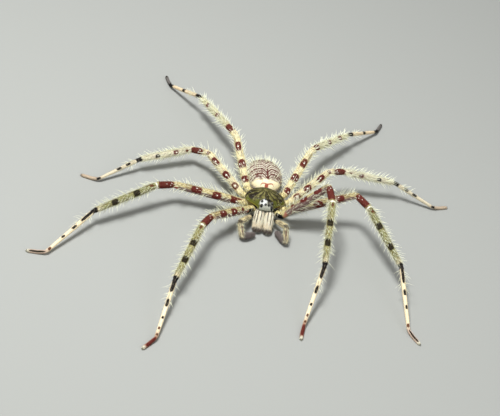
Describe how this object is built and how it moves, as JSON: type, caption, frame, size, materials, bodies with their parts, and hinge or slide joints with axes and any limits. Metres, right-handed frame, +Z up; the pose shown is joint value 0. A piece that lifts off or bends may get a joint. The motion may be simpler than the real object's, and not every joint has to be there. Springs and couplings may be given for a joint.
{
  "type": "huntsman spider",
  "caption": "Still life-size huntsman spider, standing low on its feet with the long legs spread sideways and forward, and bristles along legs and abdomen.",
  "frame": {"origin": "on the floor, under the middle of the leg span", "axes": "the spider faces -Y, its left side is +X, +Z is up"},
  "size_m": [0.1058, 0.1036, 0.0158],
  "materials": {
    "shield": "olive shield with dark rays, slightly shiny",
    "underside": "pale tan plate with short hair",
    "abdomen": "grey-white and cream fur with maroon-brown lines",
    "jaw": "cream with brown streaks and a dark fringe",
    "fang": "dark red-brown horn, polished",
    "eye": "black, wet",
    "palp": "cream with brown streaks",
    "palp_tip": "dark grey pad of hair",
    "leg": "cream with maroon-brown bands and pale bristles",
    "foot": "pale peach with dark spots, dark maroon tip"
  },
  "bodies": {
    "root": {"carapace": "shield", "sternum": "underside", "pedicel": "underside", "abdomen": "abdomen", "spinnerets": "abdomen", "chelicera_left": "jaw", "fang_left": "fang", "eye_front_middle_left": "eye", "eye_front_side_left": "eye", "eye_rear_middle_left": "eye", "eye_rear_side_left": "eye", "palp_left_femur": "palp", "palp_left_tibia": "palp", "palp_left_tarsus": "palp_tip", "leg1_left_coxa": "leg", "leg1_left_femur": "leg", "leg1_left_tibia": "leg", "leg1_left_tarsus": "foot", "leg2_left_coxa": "leg", "leg2_left_femur": "leg", "leg2_left_tibia": "leg", "leg2_left_tarsus": "foot", "leg3_left_coxa": "leg", "leg3_left_femur": "leg", "leg3_left_tibia": "leg", "leg3_left_tarsus": "foot", "leg4_left_coxa": "leg", "leg4_left_femur": "leg", "leg4_left_tibia": "leg", "leg4_left_tarsus": "foot", "chelicera_right": "jaw", "fang_right": "fang", "eye_front_middle_right": "eye", "eye_front_side_right": "eye", "eye_rear_middle_right": "eye", "eye_rear_side_right": "eye", "palp_right_femur": "palp", "palp_right_tibia": "palp", "palp_right_tarsus": "palp_tip", "leg1_right_coxa": "leg", "leg1_right_femur": "leg", "leg1_right_tibia": "leg", "leg1_right_tarsus": "foot", "leg2_right_coxa": "leg", "leg2_right_femur": "leg", "leg2_right_tibia": "leg", "leg2_right_tarsus": "foot", "leg3_right_coxa": "leg", "leg3_right_femur": "leg", "leg3_right_tibia": "leg", "leg3_right_tarsus": "foot", "leg4_right_coxa": "leg", "leg4_right_femur": "leg", "leg4_right_tibia": "leg", "leg4_right_tarsus": "foot"}
  },
  "joints": []
}
